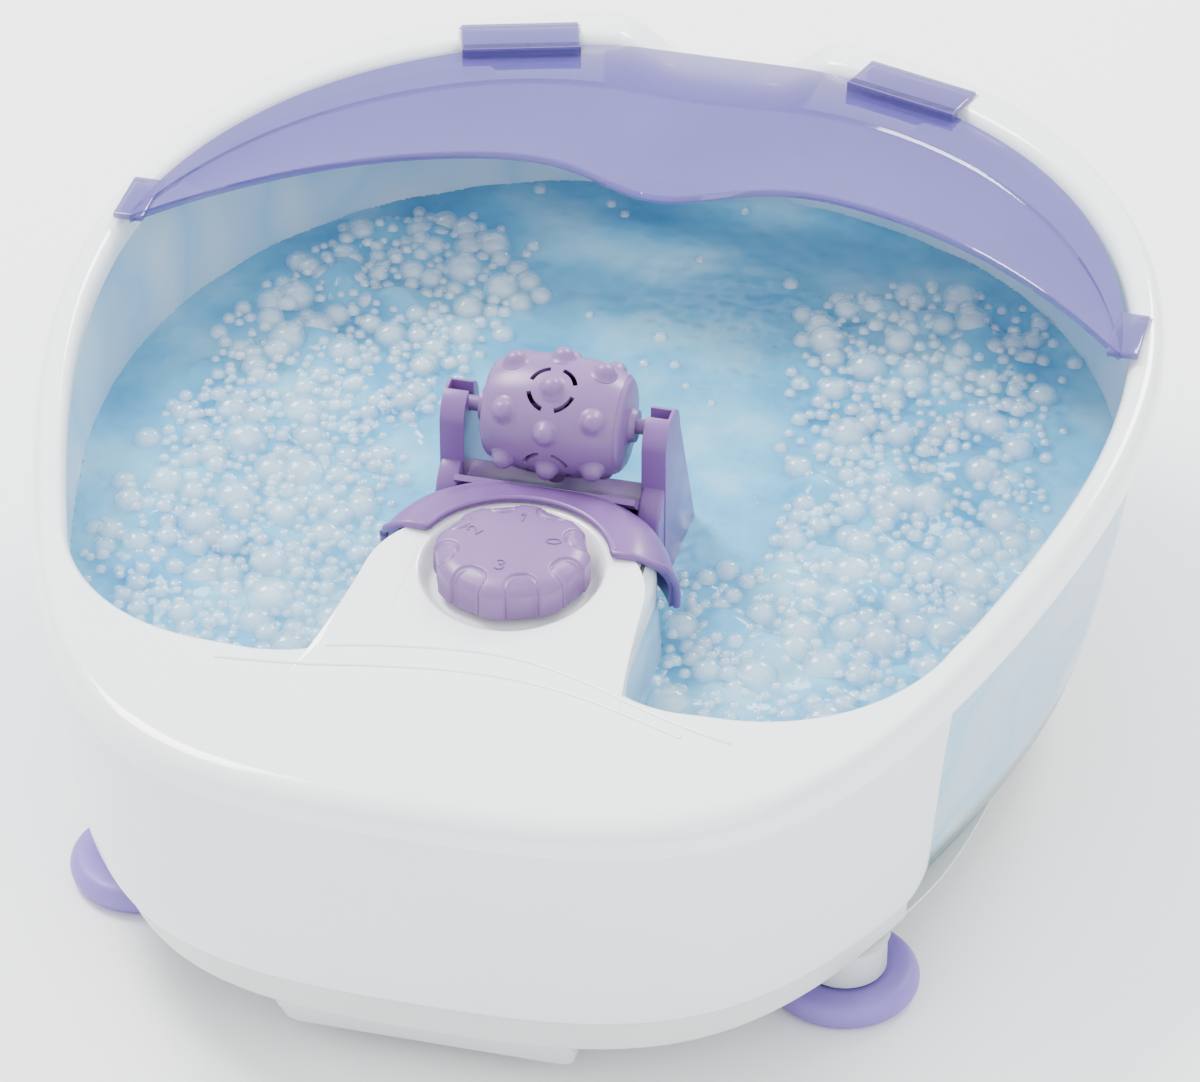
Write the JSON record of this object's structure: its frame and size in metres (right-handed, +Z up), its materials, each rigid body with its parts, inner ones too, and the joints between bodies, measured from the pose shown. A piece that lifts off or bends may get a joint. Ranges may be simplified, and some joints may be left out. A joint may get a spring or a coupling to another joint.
{
  "type": "foot spa basin",
  "caption": "Foot bath with translucent tub, white rim and control deck, rotary knob, lift-off massage roller and splash guard, round feet.",
  "frame": {"origin": "centre of the bounding box on the surface the feet stand on", "axes": "+Z up, the control deck faces -Y, the pouring spout faces +Y, +X to the right seen from the deck"},
  "size_m": [0.362, 0.432, 0.1593],
  "materials": {
    "white_gloss": "gloss",
    "tub_tint": "satin",
    "seal_rubber": "matte",
    "skirt_white": "satin",
    "tray_grey": "satin",
    "guard_violet": "gloss",
    "lilac": "satin",
    "lilac_dark": "satin",
    "foot_violet": "satin",
    "steel": "brushed",
    "brass": "satin",
    "switch_black": "matte",
    "plate_blue": "satin",
    "blower_grey": "matte",
    "impeller_white": "matte",
    "motor_can": "satin",
    "hose_clear": "satin",
    "heater_alu": "satin",
    "heater_steel": "satin",
    "ceramic_white": "matte",
    "block_ivory": "matte",
    "wire_red": "satin"
  },
  "bodies": {
    "basin": {"top_cover": "white_gloss", "tub": "tub_tint", "rim_gasket": "seal_rubber", "front_skirt": "skirt_white", "base_tray": "tray_grey", "switch_body": "switch_black", "switch_bracket": "steel", "switch_terminals": "brass", "shaft_seal": "seal_rubber", "foot_front_left": "foot_violet", "foot_front_right": "foot_violet", "foot_rear_left": "foot_violet", "foot_rear_right": "foot_violet", "foot_screws": "steel", "base_screws": "steel", "bubble_plate_left": "plate_blue", "bubble_plate_right": "plate_blue", "blower_housing": "blower_grey", "blower_cover": "blower_grey", "blower_motor": "motor_can", "air_hose_left": "hose_clear", "air_hose_right": "hose_clear", "air_nipples": "impeller_white", "massage_motor": "motor_can", "motor_clamp": "steel", "motor_mounts": "seal_rubber", "motor_screws": "steel", "heater_plate": "heater_alu", "heater_rod": "heater_steel", "heater_clips": "steel", "thermostat": "ceramic_white", "thermal_fuse": "ceramic_white", "terminal_block": "block_ivory", "suppression_capacitor": "block_ivory", "cord_gland": "seal_rubber", "wiring_loom": "wire_red"},
    "guard": {"splash_guard": "guard_violet"},
    "stand": {"roller_stand": "lilac_dark"},
    "roller": {"roller_body": "lilac", "roller_cap_left": "lilac", "roller_cap_right": "lilac", "roller_axle": "lilac"},
    "knob": {"control_knob": "lilac", "switch_shaft": "steel"},
    "blower_rotor": {"blower_shaft": "steel", "blower_impeller": "impeller_white"},
    "massage_rotor": {"massage_shaft": "steel", "eccentric_left": "brass", "eccentric_right": "brass"}
  },
  "joints": [
    {"name": "guard_lift", "type": "slide", "parent": "basin", "child": "guard", "axis": [0, 0, 1], "range_m": [0, 0.06]},
    {"name": "stand_lift", "type": "slide", "parent": "basin", "child": "stand", "axis": [0, 0, 1], "range_m": [0, 0.12]},
    {"name": "roller_spin", "type": "hinge", "parent": "stand", "child": "roller", "pos_m": [0, -0.029, 0.138], "axis": [1, 0, 0], "continuous": true},
    {"name": "knob_turn", "type": "hinge", "parent": "basin", "child": "knob", "pos_m": [0, -0.088, 0.12], "axis": [0, 0, 1], "range_deg": [-180, 90]},
    {"name": "blower_spin", "type": "hinge", "parent": "basin", "child": "blower_rotor", "pos_m": [0, -0.164, 0.06], "axis": [0, 0, 1], "continuous": true},
    {"name": "massage_spin", "type": "hinge", "parent": "basin", "child": "massage_rotor", "pos_m": [0, -0.112, 0.05], "axis": [1, 0, 0], "continuous": true}
  ]
}
